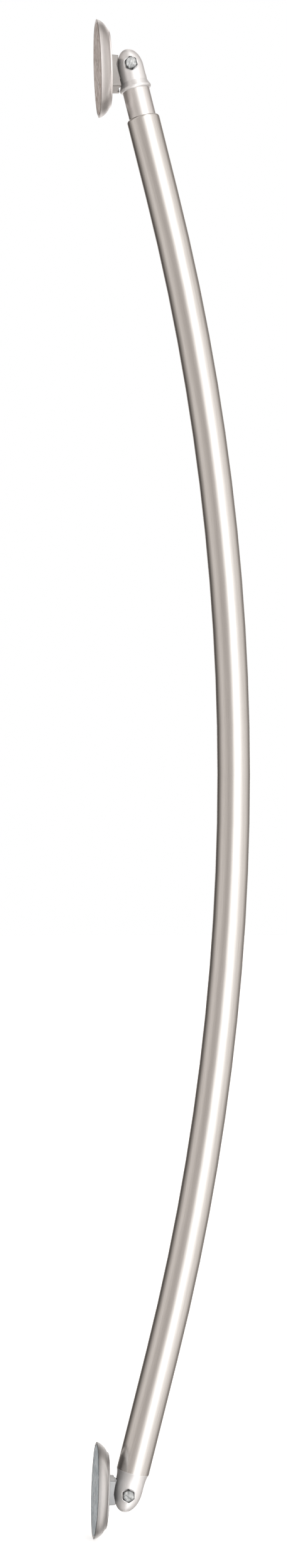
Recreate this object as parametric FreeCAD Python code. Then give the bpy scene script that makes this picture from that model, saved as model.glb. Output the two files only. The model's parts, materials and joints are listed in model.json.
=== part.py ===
"""Curved telescoping wall rail with a swivelling round flange at each end.

The rail is a bowed tube. A short straight tube telescopes out of its upper end. Each end carries a
forked end fitting, and a flange swings in the fork on a slotted hexagon bolt.

Row frame, in millimetres: the origin is the centre of the lower flange's wall face, +Z runs up along the
rail's chord, +X points away from the wall, and the bolts lie along Y with their heads towards -Y.
"""

import FreeCAD
import Part
import math
import os

from FreeCAD import Vector

# ---- Driving dimensions: the rail ----
TUBE_OD = 31.75
TUBE_WALL = 1.2
EXTENSION_OD = 26.0
EXTENSION_WALL = 1.2
BEND_RADIUS = 2280.0
BEND_HALF_ANGLE = math.radians(14.15)
LOWER_STRAIGHT = 115.0
UPPER_STRAIGHT = 76.0
EXPOSED_EXTENSION = 26.7
ENGAGED_EXTENSION = 98.0
MOUTH_CURL = 2.5
GUIDE_LENGTH = 30.0
GUIDE_NOSE = 1.0
GLIDE_LENGTH = 12.0
GLIDE_RADIUS = 14.0
GLIDE_EDGE = 0.5
BEAD_WIDTH = 1.5
BEAD_HEIGHT = 0.6
BEAD_ROOT = 0.3
RUNNING_GAP = 0.06
FIXED_FIT = 0.02

# ---- Driving dimensions: the flanges ----
TOE_IN = math.radians(2.7)
PIVOT_STANDOFF = 31.5
PIVOT_OFFSET = 1.35
STOP_RISE = math.radians(10.5)
RIM_RADIUS = 45.9
RIM_LIFT = 0.3
STEP_RADIUS = 36.6
STEP_DEPTH = 11.7
STEP_HEIGHT = 1.3
COVER_DEPTH = 12.1
COVER_SHEET = 1.0
FLANK_BULGE = 1.5
PLATE_RADIUS = 42.3
PLATE_THICKNESS = 2.5
WALL_HOLE_RADIUS = 2.6
WALL_HOLE_CIRCLE = 32.0
COVER_EDGE = 0.35
COVER_GAP = 0.35
PLATE_EDGE = 0.4
TAB_WIDTH = 11.0
TAB_REACH = 6.0
TAB_SHEET = 1.2
TAB_FIT = 0.15
TONGUE_THICKNESS = 7.4
TONGUE_EYE = 10.5
FOOT_HALF_WIDTH = 14.7
FOOT_DIP = 17.3
FOOT_DRAFT_START = 13.5
FOOT_DRAFT = 0.8
FOOT_CORNER = 2.0
FOOT_EDGE = 0.6
HEEL = 19.4
HEEL_RUN = 3.0
SWING_CLEARANCE = 0.5
SCREW_RADIUS = 2.0
SCREW_HEAD_RADIUS = 3.8
SCREW_DEPTH = 10.0
SCREW_INSET = 5.1
HEAD_SINK = 0.12
RECESS_WIDTH = 4.4
RECESS_SLOT = 0.9
RECESS_DEPTH = 1.4

# ---- Driving dimensions: the forks and their hardware ----
FORK_SLOT = 9.2
FORK_SLOT_DEPTH = 12.0
SLOT_CORNER = 2.5
SPIGOT_LENGTH = 27.0
SPIGOT_BORE_WALL = 2.6
SPIGOT_FLOOR = 2.0
SPIGOT_LEAD = 1.5
SPIGOT_TAPER = 0.8
SPOT_FACE_RADIUS = 7.0
SPOT_FACE_SINK = 0.15
BOLT_RADIUS = 3.0
BOLT_LENGTH = 28.0
BOLT_PITCH = 1.0
BOLT_THREADS = 12
THREAD_DEPTH = 0.55
FORK_HOLE_GAP = 0.1
EYE_GAP = 0.08
NUT_GAP = 0.03
WASHER_GAP = 0.12
WASHER_PLAY = 0.05
POCKET_GAP = 0.3
HEX_ACROSS_FLATS = 11.0
HEX_FACE_INSET = 0.3
HEX_CHAMFER = math.radians(30)
WASHER_FACE = 0.3
HEAD_HEIGHT = 4.2
HEAD_SLOT_WIDTH = 1.9
HEAD_SLOT_DEPTH = 1.9
NUT_HEX_HEIGHT = 4.6
NUT_HEIGHT = 6.0
NUT_SEAT = 9.0
NUT_COLLAR_EDGE = 0.5
INSERT_RADIUS = 3.9
INSERT_SINK = 0.25
INSERT_ROOT = 0.4
WASHER_RADIUS = 9.5
WASHER_THICKNESS = 0.8
LOWER_HEAD_TURN = {"hexagon": 30.0, "slot": -36.0}
UPPER_HEAD_TURN = {"hexagon": 45.0, "slot": 72.0}

# Each fork: body radius, where its nose starts and ends, and its tube's end and bore radius. Distances
# run from the pivot: nose_start and nose away from the tube, tube_end towards it.
LOWER_FORK = {
    "body": 14.1,
    "nose_start": -4.0,
    "nose": 19.2,
    "tube_end": 21.5,
    "socket": TUBE_OD / 2 - TUBE_WALL,
}
UPPER_FORK = {
    "body": 13.1,
    "nose_start": -2.0,
    "nose": 17.1,
    "tube_end": 23.8,
    "socket": EXTENSION_OD / 2 - EXTENSION_WALL,
}
# Each collar, as distances back from the tube's end and as swells over a radius.
LOWER_COLLAR = {"start": 9.0, "middle": 4.2, "brim": 0.5, "share": 0.35, "inset": 0.25}
UPPER_COLLAR = {"start": 8.0, "rise": 5.6, "crest": 2.9, "fall": 0.9}
UPPER_COLLAR_SWELL = {"rise": 0.9, "crest": 2.2, "fall": 1.75}
# Each tongue: its reach from the flange's centre, away from the rail's middle and towards it, and the
# height of its foot above the wall at each of these ends.
LOWER_TONGUE = {"outer_edge": 11.2, "inner_edge": 12.6, "outer_top": 19.6, "inner_top": 18.6}
UPPER_TONGUE = {"outer_edge": 9.8, "inner_edge": 20.6, "outer_top": 19.8, "inner_top": 21.2}

# ---- Layout in the XZ plane ----
Y_AXIS = Vector(0, 1, 0)
LEAN = Vector(math.sin(BEND_HALF_ANGLE), 0, math.cos(BEND_HALF_ANGLE))
UPPER_LEAN = Vector(-LEAN.x, 0, LEAN.z)

LOWER_OUT = Vector(math.cos(TOE_IN), 0, -math.sin(TOE_IN))
LOWER_INWARD = Vector(math.sin(TOE_IN), 0, math.cos(TOE_IN))
LOWER_PIVOT = LOWER_OUT * PIVOT_STANDOFF - LOWER_INWARD * PIVOT_OFFSET
TUBE_FOOT = LOWER_PIVOT + LEAN * LOWER_FORK["tube_end"]
BEND_START = TUBE_FOOT + LEAN * LOWER_STRAIGHT
BEND_CENTRE = BEND_START + Vector(-LEAN.z, 0, LEAN.x) * BEND_RADIUS
BEND_END = BEND_CENTRE + Vector(LEAN.z, 0, LEAN.x) * BEND_RADIUS
MOUTH = BEND_END + UPPER_LEAN * UPPER_STRAIGHT
EXTENSION_TOP = MOUTH + UPPER_LEAN * EXPOSED_EXTENSION
UPPER_PIVOT = EXTENSION_TOP + UPPER_LEAN * UPPER_FORK["tube_end"]
UPPER_OUT = Vector(math.cos(TOE_IN), 0, math.sin(TOE_IN))
UPPER_INWARD = Vector(math.sin(TOE_IN), 0, -math.cos(TOE_IN))
UPPER_FACE = UPPER_PIVOT - UPPER_OUT * PIVOT_STANDOFF + UPPER_INWARD * PIVOT_OFFSET


def frame_at(origin, x_axis, z_axis):
    """Placement whose local X and Z lie along the given directions."""
    y_axis = z_axis.cross(x_axis)
    return FreeCAD.Placement(
        FreeCAD.Matrix(
            x_axis.x, y_axis.x, z_axis.x, origin.x,
            x_axis.y, y_axis.y, z_axis.y, origin.y,
            x_axis.z, y_axis.z, z_axis.z, origin.z,
            0, 0, 0, 1,
        )
    )


# Flange frames: local X leaves the wall, and local Z points to the middle of the rail.
FLANGE_FRAMES = {
    "lower": frame_at(Vector(0, 0, 0), LOWER_OUT, LOWER_INWARD),
    "upper": frame_at(UPPER_FACE, UPPER_OUT, UPPER_INWARD),
}
# Fork frames: the origin is the pivot, local Z leaves the rail, and local Y is the row's Y.
FORK_FRAMES = {
    "lower": frame_at(LOWER_PIVOT, Vector(-LEAN.z, 0, LEAN.x), LEAN * -1),
    "upper": frame_at(UPPER_PIVOT, Vector(LEAN.z, 0, LEAN.x), UPPER_LEAN),
}
MOUTH_FRAME = frame_at(MOUTH, Vector(LEAN.z, 0, LEAN.x), UPPER_LEAN)


# ---- Small geometry helpers ----
def placed(shape, placement):
    """A copy of shape moved from its local frame into the row frame."""
    moved = shape.copy()
    moved.Placement = placement.multiply(moved.Placement)
    return moved


def line(a, b):
    return Part.LineSegment(a, b).toShape()


def arc(a, through, b):
    return Part.Arc(a, through, b).toShape()


def quarter_ellipse(side, tip):
    """Quarter of an ellipse in the XZ plane, from its side point to its tip on the Z axis."""
    centre = Vector(0, 0, side.z)
    ellipse = Part.Ellipse(tip, side, centre)
    start, end = sorted((ellipse.parameter(side), ellipse.parameter(tip)))
    if end - start > math.pi:
        start, end = end, start + 2 * math.pi
    return Part.ArcOfEllipse(ellipse, start, end).toShape()


def turned(edges, axis):
    """Solid of revolution of a closed half profile about an axis through the origin."""
    face = Part.Face(Part.Wire(edges))
    return face.revolve(Vector(0, 0, 0), axis, 360)


def turned_polygon(points, axis):
    """Solid of revolution of a straight-sided closed half profile."""
    edges = [line(a, b) for a, b in zip(points, points[1:] + points[:1])]
    return turned(edges, axis)


def ring(outer, inner, bottom, top):
    """Hollow cylinder about local Z."""
    body = Part.makeCylinder(outer, top - bottom, Vector(0, 0, bottom))
    return body.cut(Part.makeCylinder(inner, top - bottom, Vector(0, 0, bottom)))


def cylinder_along_y(radius, low, high):
    return Part.makeCylinder(radius, high - low, Vector(0, low, 0), Y_AXIS)


def hexagon(across_flats, height):
    """Hexagonal prism on local Z, with two corners on local X."""
    corner = across_flats / math.sqrt(3)
    angles = [math.radians(60 * i) for i in range(7)]
    outline = Part.makePolygon([Vector(corner * math.cos(t), corner * math.sin(t), 0) for t in angles])
    return Part.Face(outline).extrude(Vector(0, 0, height))


def rounded(shape, radius, wanted):
    """The shape with a fillet on each edge that wanted(edge) picks."""
    return shape.makeFillet(radius, [e for e in shape.Edges if wanted(e)])


def circle_of(edge, radius, height, axis):
    """True if the edge is a full circle of that radius about the axis at that height."""
    if edge.Degenerated or len(edge.Vertexes) > 1 or not isinstance(edge.Curve, Part.Circle):
        return False
    curve = edge.Curve
    return abs(curve.Radius - radius) < 0.01 and abs(curve.Center.dot(axis) - height) < 0.01


# ---- The bowed tube ----
def bent_bar(radius, foot, head):
    """Solid round bar along the bowed centre line, between two points on its straight ends."""
    lower = Part.makeCylinder(radius, (BEND_START - foot).Length, foot, LEAN)
    section = Part.Face(Part.Wire(Part.makeCircle(radius, BEND_START, LEAN)))
    turn = -2 * math.degrees(BEND_HALF_ANGLE)
    bow = section.revolve(BEND_CENTRE, Y_AXIS, turn)
    upper = Part.makeCylinder(radius, (head - BEND_END).Length, BEND_END, UPPER_LEAN)
    return lower.fuse([bow, upper]).removeSplitter()


def outer_tube():
    """Bowed tube with a plain lower end and an upper mouth curled in towards the extension."""
    outer = TUBE_OD / 2
    inner = outer - TUBE_WALL
    shoulder = MOUTH - UPPER_LEAN * MOUTH_CURL
    wall = bent_bar(outer, TUBE_FOOT, shoulder).cut(bent_bar(inner, TUBE_FOOT, shoulder))
    lip = outer - MOUTH_CURL
    bend = MOUTH_CURL - TUBE_WALL
    diagonal = math.sqrt(0.5)
    curl = turned(
        [
            line(Vector(inner, 0, -MOUTH_CURL), Vector(outer, 0, -MOUTH_CURL)),
            arc(
                Vector(outer, 0, -MOUTH_CURL),
                Vector(lip + MOUTH_CURL * diagonal, 0, -MOUTH_CURL + MOUTH_CURL * diagonal),
                Vector(lip, 0, 0),
            ),
            line(Vector(lip, 0, 0), Vector(lip, 0, -TUBE_WALL)),
            arc(
                Vector(lip, 0, -TUBE_WALL),
                Vector(lip + bend * diagonal, 0, -MOUTH_CURL + bend * diagonal),
                Vector(inner, 0, -MOUTH_CURL),
            ),
        ],
        Vector(0, 0, 1),
    )
    return wall.fuse(placed(curl, MOUTH_FRAME)).removeSplitter()


# ---- The extension and its two nylon guides ----
def guide_bush():
    """Nylon bush behind the mouth; its nose shows as a thin ring round the extension."""
    bore = EXTENSION_OD / 2 + RUNNING_GAP
    body = TUBE_OD / 2 - TUBE_WALL - FIXED_FIT
    lip = TUBE_OD / 2 - MOUTH_CURL - FIXED_FIT
    back = -MOUTH_CURL - GUIDE_LENGTH
    lead = 0.6
    points = [
        Vector(bore, 0, -GUIDE_NOSE),
        Vector(lip, 0, -GUIDE_NOSE),
        Vector(lip, 0, -MOUTH_CURL),
        Vector(body, 0, -MOUTH_CURL),
        Vector(body, 0, back),
        Vector(bore + lead, 0, back),
        Vector(bore, 0, back + 2 * lead),
    ]
    return placed(turned_polygon(points, Vector(0, 0, 1)), MOUTH_FRAME)


def glide_seat():
    """Lower and upper faces of the glide on the extension, in the mouth frame."""
    low = BEAD_WIDTH - ENGAGED_EXTENSION + RUNNING_GAP
    return low, low + GLIDE_LENGTH


def extension_tube():
    """Straight tube with two rolled beads that hold the glide near its inner end."""
    outer = EXTENSION_OD / 2
    low, high = glide_seat()
    tube = ring(outer, outer - EXTENSION_WALL, -ENGAGED_EXTENSION, EXPOSED_EXTENSION)
    for bottom in (-ENGAGED_EXTENSION, high + RUNNING_GAP):
        middle = bottom + BEAD_WIDTH / 2
        start = Vector(outer - BEAD_ROOT, 0, bottom)
        end = Vector(outer - BEAD_ROOT, 0, bottom + BEAD_WIDTH)
        crest = Vector(outer + BEAD_HEIGHT, 0, middle)
        tube = tube.fuse(turned([line(end, start), arc(start, crest, end)], Vector(0, 0, 1)))
    return placed(tube.removeSplitter(), MOUTH_FRAME)


def end_glide():
    """Nylon ring that keeps the extension's inner end central in the bowed tube."""
    low, high = glide_seat()
    body = ring(GLIDE_RADIUS, EXTENSION_OD / 2 + RUNNING_GAP, low, high)
    axis = Vector(0, 0, 1)
    for height in (low, high):
        body = rounded(body, GLIDE_EDGE, lambda e: circle_of(e, GLIDE_RADIUS, height, axis))
    return placed(body, MOUTH_FRAME)


# ---- The forked end fittings ----
def lower_collar(body, end):
    """Half profile of the lower fork's collar, which flares from its body to the tube's end."""
    sizes = LOWER_COLLAR
    brim = TUBE_OD / 2 - sizes["inset"]
    start = Vector(body, 0, sizes["start"] - end)
    middle = Vector(body + sizes["share"] * (brim - body), 0, sizes["middle"] - end)
    edge = Vector(brim, 0, sizes["brim"] - end)
    return [arc(start, middle, edge), line(edge, Vector(brim, 0, -end))]


def upper_collar(body, end):
    """Half profile of the upper fork's rounded collar bead."""
    sizes, swell = UPPER_COLLAR, UPPER_COLLAR_SWELL
    tube = EXTENSION_OD / 2
    start = Vector(body, 0, sizes["start"] - end)
    rise = Vector(body + swell["rise"], 0, sizes["rise"] - end)
    crest = Vector(tube + swell["crest"], 0, sizes["crest"] - end)
    fall = Vector(tube + swell["fall"], 0, sizes["fall"] - end)
    return [arc(start, rise, crest), arc(crest, fall, Vector(tube, 0, -end))]


def fork(spec, collar):
    """End fitting: bullet-nosed body with a through slot, a collar and a spigot for its tube."""
    body, end, socket = spec["body"], spec["tube_end"], spec["socket"] - FIXED_FIT
    nose_start, nose = spec["nose_start"], spec["nose"]
    collar_edges = collar(body, end)
    collar_start = collar_edges[0].Vertexes[0].Point
    collar_end = collar_edges[-1].Vertexes[-1].Point
    foot = -end - SPIGOT_LENGTH
    bore = socket - SPIGOT_BORE_WALL
    edges = [
        quarter_ellipse(Vector(body, 0, nose_start), Vector(0, 0, nose)),
        line(Vector(body, 0, nose_start), collar_start),
        *collar_edges,
        line(collar_end, Vector(socket, 0, -end)),
        line(Vector(socket, 0, -end), Vector(socket, 0, foot + SPIGOT_LEAD)),
        line(Vector(socket, 0, foot + SPIGOT_LEAD), Vector(socket - SPIGOT_TAPER, 0, foot)),
        line(Vector(socket - SPIGOT_TAPER, 0, foot), Vector(bore, 0, foot)),
        line(Vector(bore, 0, foot), Vector(bore, 0, -end - SPIGOT_FLOOR)),
        line(Vector(bore, 0, -end - SPIGOT_FLOOR), Vector(0, 0, -end + bore / 2)),
        line(Vector(0, 0, -end + bore / 2), Vector(0, 0, nose)),
    ]
    solid = turned(edges, Vector(0, 0, 1))
    slot = Part.makeBox(60, FORK_SLOT, 60, Vector(-30, -FORK_SLOT / 2, -FORK_SLOT_DEPTH))
    slot = rounded(slot, SLOT_CORNER, is_slot_floor_edge)
    solid = solid.cut(slot)
    solid = solid.cut(cylinder_along_y(BOLT_RADIUS + FORK_HOLE_GAP, -30, 30))
    seat = bolt_seat(spec)
    solid = solid.cut(cylinder_along_y(SPOT_FACE_RADIUS, -30, -seat))
    pocket = turned_onto_y(hexagon(HEX_ACROSS_FLATS + POCKET_GAP, 30), NUT_SEAT, 1, 0)
    return solid.cut(pocket)


def is_slot_floor_edge(edge):
    """The two long edges along X at the slot's floor."""
    a, b = edge.Vertexes[0].Point, edge.Vertexes[-1].Point
    on_floor = abs(a.z + FORK_SLOT_DEPTH) < 0.01 and abs(b.z + FORK_SLOT_DEPTH) < 0.01
    return on_floor and abs(a.x - b.x) > 1


def bolt_seat(spec):
    """Distance from the fork's middle plane to the flat under the bolt's head."""
    return math.sqrt(spec["body"] ** 2 - SPOT_FACE_RADIUS ** 2) - SPOT_FACE_SINK


# ---- The pivot hardware, modelled on local Z and turned onto Y ----
def turned_onto_y(shape, start, direction, angle):
    """The shape, built upwards on Z, laid along Y from y = start; direction is +1 or -1."""
    spun = shape.copy()
    spun.rotate(Vector(0, 0, 0), Vector(0, 0, 1), angle)
    spun.rotate(Vector(0, 0, 0), Vector(1, 0, 0), -90 * direction)
    spun.translate(Vector(0, start, 0))
    return spun


def chamfered_hexagon(height):
    """Hexagonal prism whose top corners are turned off at a slant."""
    corner = HEX_ACROSS_FLATS / math.sqrt(3)
    flat = HEX_ACROSS_FLATS / 2 - HEX_FACE_INSET
    drop = (corner + 1 - flat) * math.tan(HEX_CHAMFER)
    envelope = turned_polygon(
        [
            Vector(0, 0, 0),
            Vector(corner + 1, 0, 0),
            Vector(corner + 1, 0, height - drop),
            Vector(flat, 0, height),
            Vector(0, 0, height),
        ],
        Vector(0, 0, 1),
    )
    return hexagon(HEX_ACROSS_FLATS, height).common(envelope)


def pivot_bolt(spec, turn):
    """Slotted hexagon-head bolt; turn gives the directions of a corner and of the slot."""
    head = chamfered_hexagon(HEAD_HEIGHT - WASHER_FACE)
    head.translate(Vector(0, 0, WASHER_FACE))
    face = Part.makeCylinder(HEX_ACROSS_FLATS / 2 - HEX_FACE_INSET, WASHER_FACE)
    slot_floor = Vector(-10, -HEAD_SLOT_WIDTH / 2, HEAD_HEIGHT - HEAD_SLOT_DEPTH)
    slot = Part.makeBox(20, HEAD_SLOT_WIDTH, HEAD_SLOT_DEPTH, slot_floor)
    slot.rotate(Vector(0, 0, 0), Vector(0, 0, 1), turn["slot"] - turn["hexagon"])
    head = head.fuse(face).removeSplitter().cut(slot)
    root = BOLT_RADIUS - THREAD_DEPTH
    profile = [Vector(0, 0, 0), Vector(BOLT_RADIUS, 0, 0)]
    plain = BOLT_LENGTH - BOLT_THREADS * BOLT_PITCH
    for i in range(BOLT_THREADS):
        base = -plain - i * BOLT_PITCH
        profile.append(Vector(BOLT_RADIUS, 0, base))
        profile.append(Vector(root, 0, base - BOLT_PITCH * 0.45))
        profile.append(Vector(root, 0, base - BOLT_PITCH * 0.55))
    profile.append(Vector(root, 0, -BOLT_LENGTH))
    profile.append(Vector(0, 0, -BOLT_LENGTH))
    shank = turned_polygon(profile, Vector(0, 0, 1))
    bolt = head.fuse(shank)
    return turned_onto_y(bolt, -bolt_seat(spec), -1, turn["hexagon"])


def lock_nut():
    """Hexagon lock nut with a round collar that grips its nylon insert."""
    body = chamfered_hexagon(NUT_HEX_HEIGHT)
    radius = HEX_ACROSS_FLATS / 2 - NUT_COLLAR_EDGE
    collar = Part.makeCylinder(radius, NUT_HEIGHT - NUT_HEX_HEIGHT, Vector(0, 0, NUT_HEX_HEIGHT))
    z_axis = Vector(0, 0, 1)
    collar = rounded(collar, NUT_COLLAR_EDGE, lambda e: circle_of(e, radius, NUT_HEIGHT, z_axis))
    nut = body.fuse(collar)
    nut = nut.cut(Part.makeCylinder(BOLT_RADIUS + NUT_GAP, NUT_HEIGHT))
    pocket_floor = Vector(0, 0, NUT_HEX_HEIGHT - INSERT_ROOT)
    insert_pocket = Part.makeCylinder(INSERT_RADIUS, NUT_HEIGHT, pocket_floor)
    return turned_onto_y(nut.cut(insert_pocket), NUT_SEAT, 1, 0)


def nut_insert():
    """Nylon ring in the nut's collar."""
    bottom, top = NUT_HEX_HEIGHT - INSERT_ROOT, NUT_HEIGHT - INSERT_SINK
    body = ring(INSERT_RADIUS - FIXED_FIT, BOLT_RADIUS + NUT_GAP, bottom, top)
    return turned_onto_y(body, NUT_SEAT, 1, 0)


def friction_washers():
    """Pair of nylon washers, one each side of the tongue."""
    inner = FORK_SLOT / 2 - WASHER_THICKNESS - WASHER_PLAY
    washer = ring(WASHER_RADIUS, BOLT_RADIUS + WASHER_GAP, 0, WASHER_THICKNESS)
    sides = [turned_onto_y(washer, side * inner, side, 0) for side in (-1, 1)]
    return Part.makeCompound(sides)


# ---- The flange: plate, tongue, screws and cover, in the flange frame ----
def flank_points(offset):
    """Start, middle and end of the cover's flank arc, moved inwards by offset."""
    start = Vector(RIM_LIFT, 0, RIM_RADIUS)
    end = Vector(STEP_DEPTH - STEP_HEIGHT, 0, STEP_RADIUS)
    chord = end - start
    outward = Vector(-chord.z, 0, chord.x).normalize()
    middle = (start + end) * 0.5 + outward * FLANK_BULGE
    outer = arc(start, middle, end).Curve
    centre, radius = outer.Center, outer.Radius
    return [centre + (p - centre) * ((radius - offset) / radius) for p in (start, middle, end)]


def crown_depth(radius, offset):
    """Depth of the shallow crown at a distance from the flange's axis."""
    rise = COVER_DEPTH - STEP_DEPTH
    return COVER_DEPTH - offset - rise * (radius / STEP_RADIUS) ** 2


def flange_cover(spec):
    """Dished cover: bulged flank, small step and shallow crown, with an opening for the tongue's foot."""
    outer_start, outer_middle, outer_end = flank_points(0)
    inner_start, inner_middle, inner_end = flank_points(COVER_SHEET)
    brow = STEP_RADIUS - 0.5
    shelf = brow - COVER_SHEET
    edges = [
        arc(outer_start, outer_middle, outer_end),
        line(outer_end, Vector(crown_depth(brow, 0), 0, brow)),
        arc(
            Vector(crown_depth(brow, 0), 0, brow),
            Vector(crown_depth(brow / 2, 0), 0, brow / 2),
            Vector(COVER_DEPTH, 0, 0),
        ),
        line(Vector(COVER_DEPTH, 0, 0), Vector(COVER_DEPTH - COVER_SHEET, 0, 0)),
        arc(
            Vector(COVER_DEPTH - COVER_SHEET, 0, 0),
            Vector(crown_depth(shelf / 2, COVER_SHEET), 0, shelf / 2),
            Vector(crown_depth(shelf, COVER_SHEET), 0, shelf),
        ),
        line(Vector(crown_depth(shelf, COVER_SHEET), 0, shelf), inner_end),
        arc(inner_end, inner_middle, inner_start),
        line(inner_start, outer_start),
    ]
    cover = turned(edges, Vector(1, 0, 0))
    x_axis = Vector(1, 0, 0)
    cover = rounded(cover, COVER_EDGE, lambda e: circle_of(e, brow, crown_depth(brow, 0), x_axis))
    cover = rounded(cover, COVER_EDGE, lambda e: circle_of(e, RIM_RADIUS, RIM_LIFT, x_axis))
    low, high = -spec["outer_edge"] - COVER_GAP, spec["inner_edge"] + COVER_GAP
    half = FOOT_HALF_WIDTH + COVER_GAP
    opening = Part.makeBox(20, 2 * half, high - low, Vector(5, -half, low))
    corner = FOOT_CORNER + COVER_GAP
    opening = rounded(opening, corner, lambda e: abs(e.tangentAt(e.FirstParameter).x) > 0.99)
    return cover.cut(opening)


def tongue_screw_places(spec):
    """Local Z of the two screws that hold the tongue to the plate."""
    return [SCREW_INSET - spec["outer_edge"], spec["inner_edge"] - SCREW_INSET]


def mounting_plate(spec):
    """Steel disc with four wall screw holes and three spring tabs for the cover."""
    plate = Part.makeCylinder(PLATE_RADIUS, PLATE_THICKNESS, Vector(0, 0, 0), Vector(1, 0, 0))
    x_axis = Vector(1, 0, 0)
    plate = rounded(plate, PLATE_EDGE, lambda e: circle_of(e, PLATE_RADIUS, PLATE_THICKNESS, x_axis))
    for i in range(4):
        angle = math.radians(45 + 90 * i)
        place = Vector(-1, WALL_HOLE_CIRCLE * math.cos(angle), WALL_HOLE_CIRCLE * math.sin(angle))
        plate = plate.cut(Part.makeCylinder(WALL_HOLE_RADIUS, PLATE_THICKNESS + 3, place, x_axis))
    for height in tongue_screw_places(spec):
        cone_depth = SCREW_HEAD_RADIUS - SCREW_RADIUS
        back, sunk = Vector(0, 0, height), Vector(HEAD_SINK, 0, height)
        plate = plate.cut(Part.makeCylinder(SCREW_RADIUS, PLATE_THICKNESS + 1, back, x_axis))
        plate = plate.cut(Part.makeCylinder(SCREW_HEAD_RADIUS, HEAD_SINK, back, x_axis))
        plate = plate.cut(Part.makeCone(SCREW_HEAD_RADIUS, SCREW_RADIUS, cone_depth, sunk, x_axis))
    return plate.fuse(spring_tabs()).removeSplitter()


def spring_tabs():
    """Three tabs bent up from the plate's edge that the cover snaps over."""
    start, middle, end = flank_points(COVER_SHEET + TAB_FIT)
    flank = arc(start, middle, end).Curve
    centre, radius = flank.Center, flank.Radius
    tip = centre.z + math.sqrt(radius ** 2 - (TAB_REACH - centre.x) ** 2)
    root = PLATE_RADIUS
    profile = [
        Vector(1.0, 0, root - 1.6),
        Vector(1.0, 0, root - 0.2),
        Vector(PLATE_THICKNESS, 0, root - 0.1),
        Vector(TAB_REACH, 0, tip),
        Vector(TAB_REACH, 0, tip - TAB_SHEET),
        Vector(PLATE_THICKNESS, 0, root - 1.6),
    ]
    skirt = turned_polygon(profile, Vector(1, 0, 0))
    tabs = []
    for i in range(3):
        block = Part.makeBox(10, TAB_WIDTH, 20, Vector(0, -TAB_WIDTH / 2, 32))
        block.rotate(Vector(0, 0, 0), Vector(1, 0, 0), 120 * i)
        tabs.append(skirt.common(block))
    return tabs


def tongue(spec, fork_spec):
    """Cast pivot lug: a hollowed foot through the cover, a thin web and a rounded eye for the bolt."""
    lug = foot(spec).cut(fork_room(fork_spec)).fuse(web(spec))
    pivot = Vector(PIVOT_STANDOFF, -20, -PIVOT_OFFSET)
    lug = lug.cut(Part.makeCylinder(BOLT_RADIUS + EYE_GAP, 40, pivot, Y_AXIS))
    for height in tongue_screw_places(spec):
        start = Vector(PLATE_THICKNESS, 0, height)
        lug = lug.cut(Part.makeCylinder(SCREW_RADIUS, SCREW_DEPTH, start, Vector(1, 0, 0)))
    return lug.removeSplitter()


def foot(spec):
    """Block that stands on the plate, with a shallow V along its top under the fork."""
    low, high = -spec["outer_edge"], spec["inner_edge"]
    corners = [
        Vector(PLATE_THICKNESS, 0, low),
        Vector(FOOT_DRAFT_START, 0, low),
        Vector(spec["outer_top"], 0, low + FOOT_DRAFT),
        Vector(FOOT_DIP, 0, 0),
        Vector(spec["inner_top"], 0, high),
        Vector(PLATE_THICKNESS, 0, high),
    ]
    outline = Part.makePolygon(corners + corners[:1])
    block = Part.Face(outline).extrude(Vector(0, 2 * FOOT_HALF_WIDTH, 0))
    block.translate(Vector(0, -FOOT_HALF_WIDTH, 0))
    block = rounded(block, FOOT_CORNER, is_foot_corner)
    return rounded(block, FOOT_EDGE, is_foot_rim)


def is_foot_corner(edge):
    """The long edges at the foot's four corners, which run out from the plate."""
    a, b = edge.Vertexes[0].Point, edge.Vertexes[-1].Point
    runs_out = abs(a.x - b.x) > 2 * abs(a.z - b.z) and abs(a.y - b.y) < 0.01
    return runs_out and abs(a.x - b.x) > 5


def is_foot_rim(edge):
    """The edges round the top of the foot, its corner curves among them."""
    low = min(v.X for v in edge.Vertexes)
    straight = edge.Vertexes[0].Point - edge.Vertexes[-1].Point
    across_the_dip = abs(straight.y) > 5 and abs(edge.Vertexes[0].X - FOOT_DIP) < 0.01
    return low > FOOT_DIP - 0.01 and not across_the_dip


def web(spec):
    """Thin plate in the fork's slot, from the foot to the eye round the bolt."""
    spread = math.radians(100)
    round_start, round_top, round_end = [
        Vector(PIVOT_STANDOFF + TONGUE_EYE * math.cos(t), 0, TONGUE_EYE * math.sin(t) - PIVOT_OFFSET)
        for t in (-spread, 0, spread)
    ]
    low, high = FOOT_DRAFT - spec["outer_edge"], spec["inner_edge"]
    corners = [
        round_end,
        Vector(HEEL, 0, round_end.z + HEEL_RUN),
        Vector(HEEL, 0, high),
        Vector(PLATE_THICKNESS, 0, high),
        Vector(PLATE_THICKNESS, 0, low),
        Vector(HEEL, 0, low),
        round_start,
    ]
    outline = [line(a, b) for a, b in zip(corners, corners[1:])]
    outline.append(arc(round_start, round_top, round_end))
    plate = Part.Face(Part.Wire(outline)).extrude(Vector(0, TONGUE_THICKNESS, 0))
    plate.translate(Vector(0, -TONGUE_THICKNESS / 2, 0))
    return plate


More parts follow.
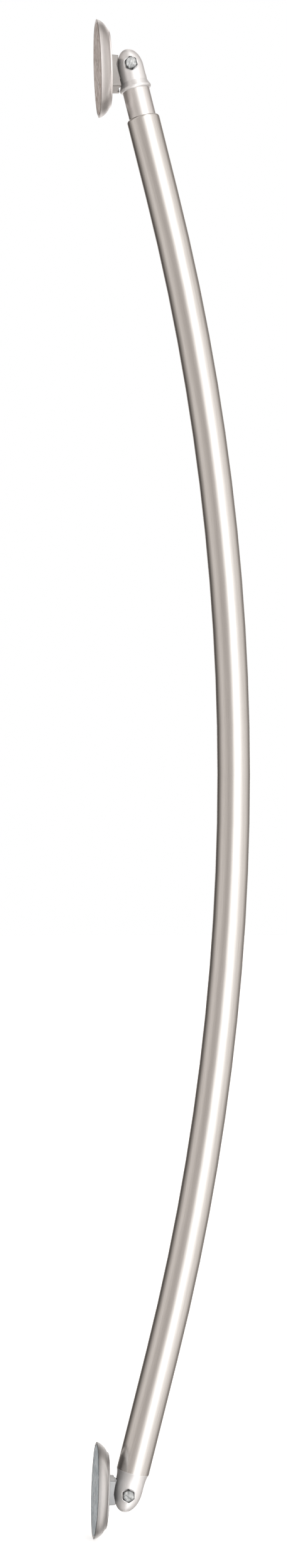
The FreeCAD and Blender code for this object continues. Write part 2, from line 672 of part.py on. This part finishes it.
def fork_room(fork_spec):
    """Room in the foot for the fork over its whole swing: a trough for its body and a bowl for its nose."""
    radius = fork_spec["body"] / math.cos(STOP_RISE) + SWING_CLEARANCE
    trough = Part.makeCylinder(radius, 100, Vector(PIVOT_STANDOFF, 0, -50), Vector(0, 0, 1))
    start = fork_spec["nose_start"]
    long = fork_spec["nose"] - start + SWING_CLEARANCE
    short = fork_spec["body"] + SWING_CLEARANCE
    ellipse = Part.Ellipse(Vector(start + long, 0, 0), Vector(start, short, 0), Vector(start, 0, 0))
    turn = math.acos(-start / long)
    rim, end = Vector(start + long, 0, 0), Vector(0, short * math.sin(turn), 0)
    profile = [
        line(Vector(0, 0, 0), rim),
        Part.ArcOfEllipse(ellipse, 0, turn).toShape(),
        line(end, Vector(0, 0, 0)),
    ]
    half = turned(profile, Y_AXIS)
    half.translate(Vector(PIVOT_STANDOFF, 0, -PIVOT_OFFSET))
    return trough.fuse([half, half.mirror(Vector(0, 0, 0), Y_AXIS)])


def plate_screws(spec):
    """Two countersunk cross-recess screws from the back of the plate into the tongue."""
    x_axis = Vector(1, 0, 0)
    radius = SCREW_RADIUS - FIXED_FIT
    length = PLATE_THICKNESS + SCREW_DEPTH - 1.5
    cone_depth = SCREW_HEAD_RADIUS - SCREW_RADIUS
    screws = []
    for height in tongue_screw_places(spec):
        start = Vector(HEAD_SINK, 0, height)
        head = Part.makeCone(SCREW_HEAD_RADIUS - FIXED_FIT, radius, cone_depth, start, x_axis)
        shank = Part.makeCylinder(radius, length, start, x_axis)
        screw = head.fuse(shank).removeSplitter()
        for wide, tall in ((RECESS_WIDTH, RECESS_SLOT), (RECESS_SLOT, RECESS_WIDTH)):
            corner = Vector(0, -wide / 2, height - tall / 2)
            screw = screw.cut(Part.makeBox(RECESS_DEPTH + HEAD_SINK, wide, tall, corner))
        screws.append(screw)
    return Part.makeCompound(screws)


# ---- Writing the parts ----
def write(name, shape):
    """Checks that every solid is closed and valid, then writes the sub-part's STEP file."""
    solids = shape.Solids
    if not solids or not all(s.isValid() and s.isClosed() and s.Volume > 0 for s in solids):
        raise RuntimeError(name + " isn't made of valid closed solids")
    body = solids[0] if len(solids) == 1 else Part.makeCompound(solids)
    body.exportStep(os.path.join("parts", name + ".step"))
    box = body.BoundBox
    print(f"{name:24s} solids {len(solids)}  volume {body.Volume / 1000:8.2f} cm3  "
          f"size {box.XLength:7.1f} {box.YLength:7.1f} {box.ZLength:7.1f}")


def main():
    os.makedirs("parts", exist_ok=True)
    write("outer_tube", outer_tube())
    write("guide_bush", guide_bush())
    write("extension_tube", extension_tube())
    write("end_glide", end_glide())
    ends = {
        "lower": (LOWER_FORK, lower_collar, LOWER_HEAD_TURN, LOWER_TONGUE),
        "upper": (UPPER_FORK, upper_collar, UPPER_HEAD_TURN, UPPER_TONGUE),
    }
    for end, (fork_spec, collar, head_turn, tongue_spec) in ends.items():
        at_fork, at_flange = FORK_FRAMES[end], FLANGE_FRAMES[end]
        pivot = FreeCAD.Placement(at_fork.Base, FreeCAD.Rotation())
        write(end + "_fork", placed(fork(fork_spec, collar), at_fork))
        write(end + "_pivot_bolt", placed(pivot_bolt(fork_spec, head_turn), pivot))
        write(end + "_lock_nut", placed(lock_nut(), at_fork))
        write(end + "_nut_insert", placed(nut_insert(), at_fork))
        write(end + "_friction_washers", placed(friction_washers(), at_fork))
        write(end + "_mounting_plate", placed(mounting_plate(tongue_spec), at_flange))
        write(end + "_flange_cover", placed(flange_cover(tongue_spec), at_flange))
        write(end + "_tongue", placed(tongue(tongue_spec, fork_spec), at_flange))
        write(end + "_plate_screws", placed(plate_screws(tongue_spec), at_flange))
    for name, point in (("lower pivot", LOWER_PIVOT), ("mouth", MOUTH), ("upper pivot", UPPER_PIVOT),
                        ("upper wall face", UPPER_FACE), ("bend centre", BEND_CENTRE)):
        print(f"{name:16s} {point.x:10.4f} {point.y:8.4f} {point.z:10.4f}")


main()
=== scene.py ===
"""Looks for a bowed telescoping wall rail with a swivelling round flange at each end.

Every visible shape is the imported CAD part. This script gives each of its nodes a procedural material, and
adds a pale floor, soft studio light and the camera. Lengths are in metres, in the row frame.
"""

import bpy
import json
import math

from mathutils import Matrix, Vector


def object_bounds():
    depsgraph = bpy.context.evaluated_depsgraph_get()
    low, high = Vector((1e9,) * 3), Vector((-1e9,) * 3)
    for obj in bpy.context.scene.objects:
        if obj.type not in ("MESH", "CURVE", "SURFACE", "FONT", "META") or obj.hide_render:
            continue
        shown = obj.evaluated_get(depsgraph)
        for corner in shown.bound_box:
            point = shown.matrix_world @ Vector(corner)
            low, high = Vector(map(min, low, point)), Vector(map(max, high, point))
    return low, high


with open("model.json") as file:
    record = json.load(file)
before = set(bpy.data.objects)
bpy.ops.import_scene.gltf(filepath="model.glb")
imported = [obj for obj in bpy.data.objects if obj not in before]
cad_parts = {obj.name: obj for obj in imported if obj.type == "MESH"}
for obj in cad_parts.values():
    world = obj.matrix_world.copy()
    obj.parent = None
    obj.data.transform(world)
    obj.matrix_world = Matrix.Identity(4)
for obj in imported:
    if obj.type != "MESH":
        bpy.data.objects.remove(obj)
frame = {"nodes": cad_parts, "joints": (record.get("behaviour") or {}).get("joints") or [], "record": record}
cad_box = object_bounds()
nodes = frame["nodes"]

# ---- Sizes and places that the materials' grain follows ----
BEND_CENTRE = (-2.146052, 0.0, 0.686898)
BEND_RADIUS = 2.28
TOE_IN = math.radians(2.7)
COVER_DEPTH = 0.0121
HEAD_RIM_START = 0.0045
HEAD_RIM_END = 0.0057
STREAK_SQUEEZE = 0.02
RING_SQUEEZE = 0.004
SPANGLE_SCALE = 260.0
joint_at = {j["name"]: Vector(j["pos_m"]) for j in frame["joints"] if "pos_m" in j}
mount_at = {m["name"]: Vector(m["pos_m"]) for m in frame["record"]["mounts"]}


# ---- Node graph helpers ----
def rgb(red, green, blue):
    return (red, green, blue, 1.0)


def fill_ramp(ramp, stops):
    """Gives a colour ramp node its stops, as pairs of a position and a colour."""
    elements = ramp.color_ramp.elements
    while len(elements) > 1:
        elements.remove(elements[-1])
    for index, (position, colour) in enumerate(stops):
        element = elements[0] if index == 0 else elements.new(position)
        element.position = position
        element.color = colour


class Graph:
    """A material's node tree, built by short calls."""

    def __init__(self, name):
        self.material = bpy.data.materials.new(name)
        self.material.use_nodes = True
        self.tree = self.material.node_tree
        self.tree.nodes.clear()
        self.shader = self.node("ShaderNodeBsdfPrincipled")
        output = self.node("ShaderNodeOutputMaterial")
        self.tree.links.new(self.shader.outputs["BSDF"], output.inputs["Surface"])

    def node(self, kind, **settings):
        made = self.tree.nodes.new(kind)
        for key, value in settings.items():
            setattr(made, key, value)
        return made

    def put(self, socket, value):
        """Links an output to an input, or sets the input to a constant."""
        if isinstance(value, bpy.types.NodeSocket):
            self.tree.links.new(value, socket)
        else:
            socket.default_value = value

    def math(self, operation, a, b=0.0, c=0.0):
        made = self.node("ShaderNodeMath", operation=operation)
        for socket, value in zip(made.inputs, (a, b, c)):
            self.put(socket, value)
        return made.outputs[0]

    def object_coordinates(self):
        return self.node("ShaderNodeTexCoord").outputs["Object"]

    def split(self, vector):
        made = self.node("ShaderNodeSeparateXYZ")
        self.put(made.inputs[0], vector)
        return made.outputs[0], made.outputs[1], made.outputs[2]

    def join(self, x, y, z):
        made = self.node("ShaderNodeCombineXYZ")
        for socket, value in zip(made.inputs, (x, y, z)):
            self.put(socket, value)
        return made.outputs[0]

    def moved(self, vector, origin, turn_about_y):
        """Coordinates in a local frame: first the origin is taken away, then the axes are turned."""
        shift = self.node("ShaderNodeVectorMath", operation="SUBTRACT")
        self.put(shift.inputs[0], vector)
        shift.inputs[1].default_value = origin
        turn = self.node("ShaderNodeVectorRotate", rotation_type="Y_AXIS")
        self.put(turn.inputs["Vector"], shift.outputs[0])
        turn.inputs["Angle"].default_value = turn_about_y
        return turn.outputs[0]

    def noise(self, vector, scale, detail=3.0, roughness=0.55):
        made = self.node("ShaderNodeTexNoise")
        self.put(made.inputs["Vector"], vector)
        made.inputs["Scale"].default_value = scale
        made.inputs["Detail"].default_value = detail
        made.inputs["Roughness"].default_value = roughness
        return made.outputs["Fac"]

    def spread(self, value, low, high, start=0.3, end=0.7):
        """Maps the middle of a noise onto low to high."""
        made = self.node("ShaderNodeMapRange")
        self.put(made.inputs["Value"], value)
        made.inputs["From Min"].default_value = start
        made.inputs["From Max"].default_value = end
        made.inputs["To Min"].default_value = low
        made.inputs["To Max"].default_value = high
        return made.outputs["Result"]

    def tones(self, tone, dark, light, low=0.35, high=0.65):
        """Colour that goes from dark to light over the middle of a mixed noise."""
        return self.blend(self.spread(tone, 0.0, 1.0, low, high), dark, light)

    def rough_tones(self, tone, base, rougher=0.05, smoother=0.03):
        """Roughness that falls from above the base to below it as the tone lightens."""
        return self.spread(tone, base + rougher, base - smoother, 0.35, 0.65)

    def mixed(self, *shares):
        """Weighted sum of values, given as pairs of a value and its share."""
        total = self.math("MULTIPLY", *shares[0])
        for value, share in shares[1:]:
            total = self.math("ADD", total, self.math("MULTIPLY", value, share))
        return total

    def length(self, a, b):
        """Length of the hypotenuse over two values."""
        squares = self.math("ADD", self.math("MULTIPLY", a, a), self.math("MULTIPLY", b, b))
        return self.math("SQRT", squares)

    def blend(self, factor, a, b, kind="MIX"):
        made = self.node("ShaderNodeMix", data_type="RGBA", blend_type=kind)
        self.put(made.inputs["Factor"], factor)
        self.put(made.inputs["A"], a)
        self.put(made.inputs["B"], b)
        return made.outputs["Result"]

    def painted_light_bands(self, value, levels):
        """Grey that runs through evenly spaced levels as the value goes from 0 to 1."""
        made = self.node("ShaderNodeValToRGB")
        self.put(made.inputs["Fac"], value)
        last = len(levels) - 1
        fill_ramp(made, [(i / last, rgb(level, level, level)) for i, level in enumerate(levels)])
        return made.outputs["Color"]

    def bump(self, height, depth, strength=1.0, under=None):
        made = self.node("ShaderNodeBump")
        self.put(made.inputs["Height"], height)
        made.inputs["Distance"].default_value = depth
        made.inputs["Strength"].default_value = strength
        if under is not None:
            self.put(made.inputs["Normal"], under)
        return made.outputs["Normal"]

    def eased_edges(self, radius):
        """Normal that rounds the sharp edges over a radius."""
        made = self.node("ShaderNodeBevel", samples=4)
        made.inputs["Radius"].default_value = radius
        return made.outputs["Normal"]

    def finish(self, colour, roughness, normal, metallic=1.0):
        self.put(self.shader.inputs["Base Color"], colour)
        self.put(self.shader.inputs["Roughness"], roughness)
        self.put(self.shader.inputs["Normal"], normal)
        self.shader.inputs["Metallic"].default_value = metallic
        return self.material


# ---- Materials ----
def brushed_along_bow(name, dark, light, base_roughness):
    """Satin nickel brushed lengthwise: fine streaks that run with the bowed tube."""
    g = Graph(name)
    place = g.object_coordinates()
    x, y, z = g.split(place)
    out = g.math("SUBTRACT", x, BEND_CENTRE[0])
    up = g.math("SUBTRACT", z, BEND_CENTRE[2])
    along = g.math("MULTIPLY", g.math("ARCTAN2", up, out), BEND_RADIUS)
    across = g.math("SUBTRACT", g.length(out, up), BEND_RADIUS)
    streak_place = g.join(across, y, g.math("MULTIPLY", along, STREAK_SQUEEZE))
    fine = g.noise(streak_place, scale=3200.0, detail=4.0, roughness=0.6)
    broad = g.noise(streak_place, scale=420.0, detail=3.0, roughness=0.5)
    cloud = g.noise(place, scale=9.0, detail=2.0, roughness=0.5)
    tone = g.mixed((fine, 0.45), (broad, 0.35), (cloud, 0.2))
    normal = g.bump(fine, depth=0.000006, strength=0.4)
    return g.finish(g.tones(tone, dark, light), g.rough_tones(tone, base_roughness, rougher=0.04), normal)


def cast_satin(name, dark, light, base_roughness, metallic):
    """Satin nickel over a smooth casting: a faint orange peel under a fine blasted grain."""
    g = Graph(name)
    place = g.object_coordinates()
    grain = g.noise(place, scale=2600.0, detail=3.0, roughness=0.6)
    peel = g.noise(place, scale=210.0, detail=2.0, roughness=0.5)
    cloud = g.noise(place, scale=38.0, detail=3.0, roughness=0.55)
    tone = g.mixed((grain, 0.3), (cloud, 0.7))
    peeled = g.bump(peel, depth=0.00005, strength=0.35)
    normal = g.bump(grain, depth=0.00001, strength=0.5, under=peeled)
    return g.finish(g.tones(tone, dark, light), g.rough_tones(tone, base_roughness), normal, metallic)


def spun_satin(name, centre, turn, dark, light, painted_band_levels):
    """Satin nickel on a spun dish: fine rings about its axis, and broad bands of painted highlight and
    painted shade from rim to crown.
    """
    g = Graph(name)
    place = g.moved(g.object_coordinates(), centre, turn)
    x, y, z = g.split(place)
    angle = g.math("MULTIPLY", g.math("ARCTAN2", y, z), RING_SQUEEZE)
    ring_place = g.join(g.length(y, z), g.math("MULTIPLY", x, 0.6), angle)
    fine = g.noise(ring_place, scale=2800.0, detail=4.0, roughness=0.6)
    broad = g.noise(ring_place, scale=330.0, detail=2.0, roughness=0.5)
    cloud = g.noise(place, scale=30.0, detail=2.0, roughness=0.5)
    tone = g.mixed((fine, 0.35), (broad, 0.35), (cloud, 0.3))
    # Painted highlight and shade: the colour is multiplied by grey levels that change with depth from rim to
    # crown.
    painted_light_bands = g.painted_light_bands(g.math("DIVIDE", x, COVER_DEPTH), painted_band_levels)
    colour = g.blend(1.0, g.tones(tone, dark, light), painted_light_bands, "MULTIPLY")
    normal = g.bump(fine, depth=0.000012, strength=0.6)
    return g.finish(colour, g.rough_tones(tone, COVER_ROUGHNESS), normal, COVER_METALLIC)


def spangled_zinc(name, dark, light, stain):
    """Plated sheet: crystal-like spangle, with cloudy stains from the plating bath."""
    g = Graph(name)
    place = g.object_coordinates()
    cells = g.node("ShaderNodeTexVoronoi", feature="F1")
    g.put(cells.inputs["Vector"], place)
    cells.inputs["Scale"].default_value = SPANGLE_SCALE
    facets = g.split(cells.outputs["Color"])[0]
    cloud = g.noise(place, scale=75.0, detail=4.0, roughness=0.65)
    grain = g.noise(place, scale=1500.0, detail=3.0, roughness=0.6)
    stains = g.noise(place, scale=46.0, detail=3.0, roughness=0.6)
    tone = g.mixed((facets, 0.35), (cloud, 0.65))
    plated = g.tones(tone, dark, light, low=0.25, high=0.75)
    colour = g.blend(g.spread(stains, 0.0, 0.75, start=0.5, end=0.68), plated, stain)
    roughness = g.spread(tone, 0.5, 0.34, start=0.25, end=0.75)
    rolled = g.bump(cloud, depth=0.0002, strength=0.4, under=g.eased_edges(0.0004))
    normal = g.bump(grain, depth=0.00002, strength=0.5, under=rolled)
    return g.finish(colour, roughness, normal)


def turned_steel(name, centre, dark, light, base_roughness, rim_darkening):
    """Machined hardware: faint turning rings about the pivot, darker patches, and the colour multiplied by a
    rim colour beyond the head's rim radius. On the bolt, this is a painted shadow round the head.
    """
    g = Graph(name)
    place = g.moved(g.object_coordinates(), centre, 0.0)
    x, y, z = g.split(place)
    radius = g.length(x, z)
    ring_place = g.join(radius, g.math("MULTIPLY", y, 0.5), 0.0)
    rings = g.noise(ring_place, scale=3600.0, detail=3.0, roughness=0.6)
    patches = g.noise(place, scale=260.0, detail=3.0, roughness=0.6)
    tone = g.mixed((rings, 0.2), (patches, 0.8))
    # Mask that grows outwards across the head's rim. On the bolt it lays down the painted shadow round the
    # head.
    rim_darkening_mask = g.spread(radius, 0.0, 1.0, HEAD_RIM_START, HEAD_RIM_END)
    colour = g.blend(rim_darkening_mask, g.tones(tone, dark, light), rim_darkening, "MULTIPLY")
    roughness = g.rough_tones(tone, base_roughness, rougher=0.08, smoother=0.04)
    normal = g.bump(rings, depth=0.00001, strength=0.5, under=g.eased_edges(0.00025))
    return g.finish(colour, roughness, normal)


def nylon(name, dark, light):
    """Moulded nylon: a fine matt texture with slight flow marks."""
    g = Graph(name)
    place = g.object_coordinates()
    grain = g.noise(place, scale=3000.0, detail=3.0, roughness=0.6)
    flow = g.noise(place, scale=160.0, detail=3.0, roughness=0.5)
    roughness = g.spread(grain, 0.62, 0.48, start=0.35, end=0.65)
    normal = g.bump(grain, depth=0.00002, strength=0.6, under=g.eased_edges(0.0002))
    return g.finish(g.tones(flow, dark, light), roughness, normal, metallic=0.0)


COVER_METALLIC = 0.85
COVER_ROUGHNESS = 0.31
# Each cover's darker and lighter tint, and the levels of its bands of painted highlight and painted shade
# from rim to crown. Both covers are one spun part, so the lower cover's darker, cooler tint and the upper
# cover's lighter, warmer tint are painted light as well.
COVER_PAINTED_TINTS_AND_BANDS = {
    "lower": (rgb(0.57, 0.56, 0.555), rgb(0.69, 0.68, 0.675), (0.40, 0.60, 0.90, 1.0, 0.82, 0.66, 0.55)),
    "upper": (rgb(0.70, 0.67, 0.655), rgb(0.82, 0.785, 0.77), (0.75, 0.70, 0.60, 0.68, 0.90, 1.0, 0.90)),
}
NICKEL_DARK = rgb(0.545, 0.525, 0.505)
NICKEL_LIGHT = rgb(0.645, 0.625, 0.605)
CAST_DARK = rgb(0.64, 0.63, 0.625)
CAST_LIGHT = rgb(0.73, 0.72, 0.715)
CAST_METALLIC = 0.7
STEEL_DARK = rgb(0.13, 0.135, 0.135)
STEEL_LIGHT = rgb(0.50, 0.505, 0.50)
# Painted shadow: the near-black that multiplies the bolt's colour beyond the head's rim, standing in for the
# shade in the gap round the head.
BOLT_RIM_PAINTED_SHADOW = rgb(0.14, 0.14, 0.14)
ZINC_RIM = rgb(0.85, 0.85, 0.85)
ZINC_DARK = rgb(0.46, 0.47, 0.48)
ZINC_LIGHT = rgb(0.68, 0.69, 0.70)

tube_finish = brushed_along_bow("satin_tube_brushed", NICKEL_DARK, NICKEL_LIGHT, 0.22)
extension_finish = brushed_along_bow(
    "satin_extension_brushed", rgb(0.62, 0.60, 0.585), rgb(0.72, 0.70, 0.685), 0.36
)
casting_finish = cast_satin("satin_casting_blasted", CAST_DARK, CAST_LIGHT, 0.38, CAST_METALLIC)
# Painted shade: the tongues sit between fork and cover, and their colour, far darker than the castings,
# stands in for the shade there. The upper tongue's warm tint and the lower tongue's cool tint are painted
# reflection.
tongue_painted_shade_finishes = {
    "lower": cast_satin("lower_tongue_blasted_painted_shade", rgb(0.27, 0.275, 0.28), rgb(0.35, 0.355, 0.36), 0.40, 1.0),
    "upper": cast_satin("upper_tongue_blasted_painted_shade", rgb(0.26, 0.245, 0.235), rgb(0.34, 0.325, 0.31), 0.40, 1.0),
}
grey_nylon = nylon("grey_nylon_moulded", rgb(0.05, 0.05, 0.05), rgb(0.09, 0.09, 0.09))
white_nylon = nylon("white_nylon_moulded", rgb(0.62, 0.61, 0.57), rgb(0.74, 0.73, 0.69))
# Both plates are the same zinc-plated sheet: the lower plate's blue tint and the upper plate's warm tint are
# painted reflections. The spangle and the stains belong to the zinc itself.
plate_painted_reflection_finishes = {
    "lower": spangled_zinc(
        "lower_plate_zinc_painted_blue_reflection", rgb(0.47, 0.57, 0.64), rgb(0.69, 0.79, 0.85), rgb(0.35, 0.43, 0.48)
    ),
    "upper": spangled_zinc(
        "upper_plate_zinc_painted_warm_reflection", rgb(0.58, 0.48, 0.43), rgb(0.80, 0.71, 0.66), rgb(0.40, 0.31, 0.26)
    ),
}


def wear(node, finish):
    """Puts a finish in every material slot of a CAD node."""
    mesh = nodes[node].data
    if not mesh.materials:
        mesh.materials.append(finish)
    for index in range(len(mesh.materials)):
        mesh.materials[index] = finish


wear("outer_tube", tube_finish)
wear("extension_tube", extension_finish)
wear("guide_bush", grey_nylon)
wear("end_glide", grey_nylon)
for end, turn in (("lower", -TOE_IN), ("upper", TOE_IN)):
    pivot = joint_at[end + "_flange_pivot"]
    # Each cover's material carries its painted highlight and shade bands.
    cover_finish = spun_satin(end + "_cover_spun_painted_bands", mount_at[end + "_wall_face"], turn, *COVER_PAINTED_TINTS_AND_BANDS[end])
    bolt_finish = turned_steel(end + "_bolt_turned_painted_rim_shadow", pivot, STEEL_DARK, STEEL_LIGHT, 0.3, BOLT_RIM_PAINTED_SHADOW)
    zinc_finish = turned_steel(end + "_hardware_zinc", pivot, ZINC_DARK, ZINC_LIGHT, 0.26, ZINC_RIM)
    wear(end + "_fork", casting_finish)
    wear(end + "_tongue", tongue_painted_shade_finishes[end])
    wear(end + "_flange_cover", cover_finish)
    wear(end + "_mounting_plate", plate_painted_reflection_finishes[end])
    wear(end + "_pivot_bolt", bolt_finish)
    wear(end + "_lock_nut", zinc_finish)
    wear(end + "_plate_screws", zinc_finish)
    wear(end + "_nut_insert", white_nylon)
    wear(end + "_friction_washers", white_nylon)


# ---- Floor ----
FLOOR_WIDTH = 40.0
FLOOR_GLOW = 0.5
FLOOR_DROP = 0.0005


def pale_floor(height):
    """Wide matt paper floor that glows a little, so that it stays almost white."""
    bpy.ops.mesh.primitive_plane_add(size=FLOOR_WIDTH, location=(0.0, 0.0, height))
    floor = bpy.context.object
    floor.name = "studio_floor"
    g = Graph("studio_floor_paper")
    paper = g.noise(g.object_coordinates(), scale=3.0, detail=3.0, roughness=0.5)
    colour = g.blend(g.spread(paper, 0.0, 1.0), rgb(0.86, 0.86, 0.86), rgb(0.88, 0.88, 0.88))
    g.finish(colour, 0.9, g.bump(paper, depth=0.0002, strength=0.1), metallic=0.0)
    g.shader.inputs["Emission Color"].default_value = rgb(1.0, 1.0, 1.0)
    g.shader.inputs["Emission Strength"].default_value = FLOOR_GLOW
    floor.data.materials.append(g.material)
    floor.visible_glossy = False


pale_floor(cad_box[0].z - FLOOR_DROP)

# ---- Light ----
# Brightness of the studio walls round the object, by compass bearing from it: 0 is towards the camera, and
# positive bearings are to the camera's right. The darker walls are a little warm.
CAMERA_TURN = math.radians(4.9)
STUDIO = (
    (-180, 1.30), (-168, 1.30), (-150, 0.16), (-131, 0.10), (-113, 0.34), (-99, 0.60), (-86, 0.88),
    (-69, 0.95), (-45, 0.71), (-28, 0.66), (-12, 0.80), (-2, 1.30), (8, 1.90), (20, 2.20), (38, 2.20),
    (52, 1.65), (66, 1.28), (86, 1.10), (105, 0.92), (122, 0.52), (135, 0.30), (150, 0.30), (168, 1.30),
    (180, 1.30),
)
STUDIO_PEAK = 2.2
BACKDROP_LEVEL = 1.0
# How much green and blue the darkest wall loses.
STUDIO_WARMTH = (0.10, 0.17)
KEY_TARGET = Vector((0.05, 0.0, 0.68))
KEY_BEARING = math.radians(28.0)
KEY_RISE = 0.2
KEY_DISTANCE = 2.4
KEY_WIDTH = 0.7
KEY_HEIGHT = 2.2
KEY_WATTS = 4.0


def studio_walls():
    """World light from the walls' ramp. The camera itself sees plain white."""
    world = bpy.data.worlds.new("studio")
    bpy.context.scene.world = world
    world.use_nodes = True
    tree = world.node_tree
    tree.nodes.clear()
    make, link = tree.nodes.new, tree.links.new
    place = make("ShaderNodeTexCoord")
    turn = make("ShaderNodeVectorRotate")
    turn.rotation_type = "Z_AXIS"
    # The radial gradient's seam lies on its -X side, so bearing 0 is turned onto +X.
    turn.inputs["Angle"].default_value = math.radians(90) + CAMERA_TURN
    link(place.outputs["Generated"], turn.inputs["Vector"])
    bearing = make("ShaderNodeTexGradient")
    bearing.gradient_type = "RADIAL"
    link(turn.outputs[0], bearing.inputs["Vector"])
    ramp = make("ShaderNodeValToRGB")
    link(bearing.outputs["Fac"], ramp.inputs["Fac"])
    stops = []
    for degrees, level in STUDIO:
        share = level / STUDIO_PEAK
        green, blue = [share * (1.0 - loss * (1.0 - share)) for loss in STUDIO_WARMTH]
        stops.append((0.5 + degrees / 360.0, rgb(share, green, blue)))
    fill_ramp(ramp, stops)
    walls = make("ShaderNodeBackground")
    link(ramp.outputs["Color"], walls.inputs["Color"])
    walls.inputs["Strength"].default_value = STUDIO_PEAK
    backdrop = make("ShaderNodeBackground")
    backdrop.inputs["Color"].default_value = rgb(1.0, 1.0, 1.0)
    backdrop.inputs["Strength"].default_value = BACKDROP_LEVEL
    path = make("ShaderNodeLightPath")
    mix = make("ShaderNodeMixShader")
    link(path.outputs["Is Camera Ray"], mix.inputs[0])
    link(walls.outputs[0], mix.inputs[1])
    link(backdrop.outputs[0], mix.inputs[2])
    output = make("ShaderNodeOutputWorld")
    link(mix.outputs[0], output.inputs["Surface"])


studio_walls()


def key_softbox():
    """Tall soft light that faces the middle of the rail from in front and a little to the right."""
    angle = KEY_BEARING - CAMERA_TURN
    towards = Vector((math.sin(angle), -math.cos(angle), 0.0))
    data = bpy.data.lights.new("key_softbox", "AREA")
    data.shape = "RECTANGLE"
    data.size, data.size_y = KEY_WIDTH, KEY_HEIGHT
    data.energy = KEY_WATTS
    light = bpy.data.objects.new("key_softbox", data)
    bpy.context.scene.collection.objects.link(light)
    light.location = KEY_TARGET + towards * KEY_DISTANCE + Vector((0.0, 0.0, KEY_RISE))
    light.rotation_euler = (KEY_TARGET - light.location).to_track_quat("-Z", "Y").to_euler()
    light.visible_camera = False


key_softbox()

# ---- Camera ----
camera_data = bpy.data.cameras.new("camera")
camera_data.lens = 65.0
camera_data.sensor_width = 36.0
camera_data.shift_y = 0.0448
camera = bpy.data.objects.new("camera", camera_data)
bpy.context.scene.collection.objects.link(camera)
camera.location = (-0.1855, -2.7106, 0.6104)
camera.rotation_euler = (math.radians(90), 0.0, -CAMERA_TURN)
bpy.context.scene.camera = camera
bpy.context.scene.view_settings.view_transform = "Standard"
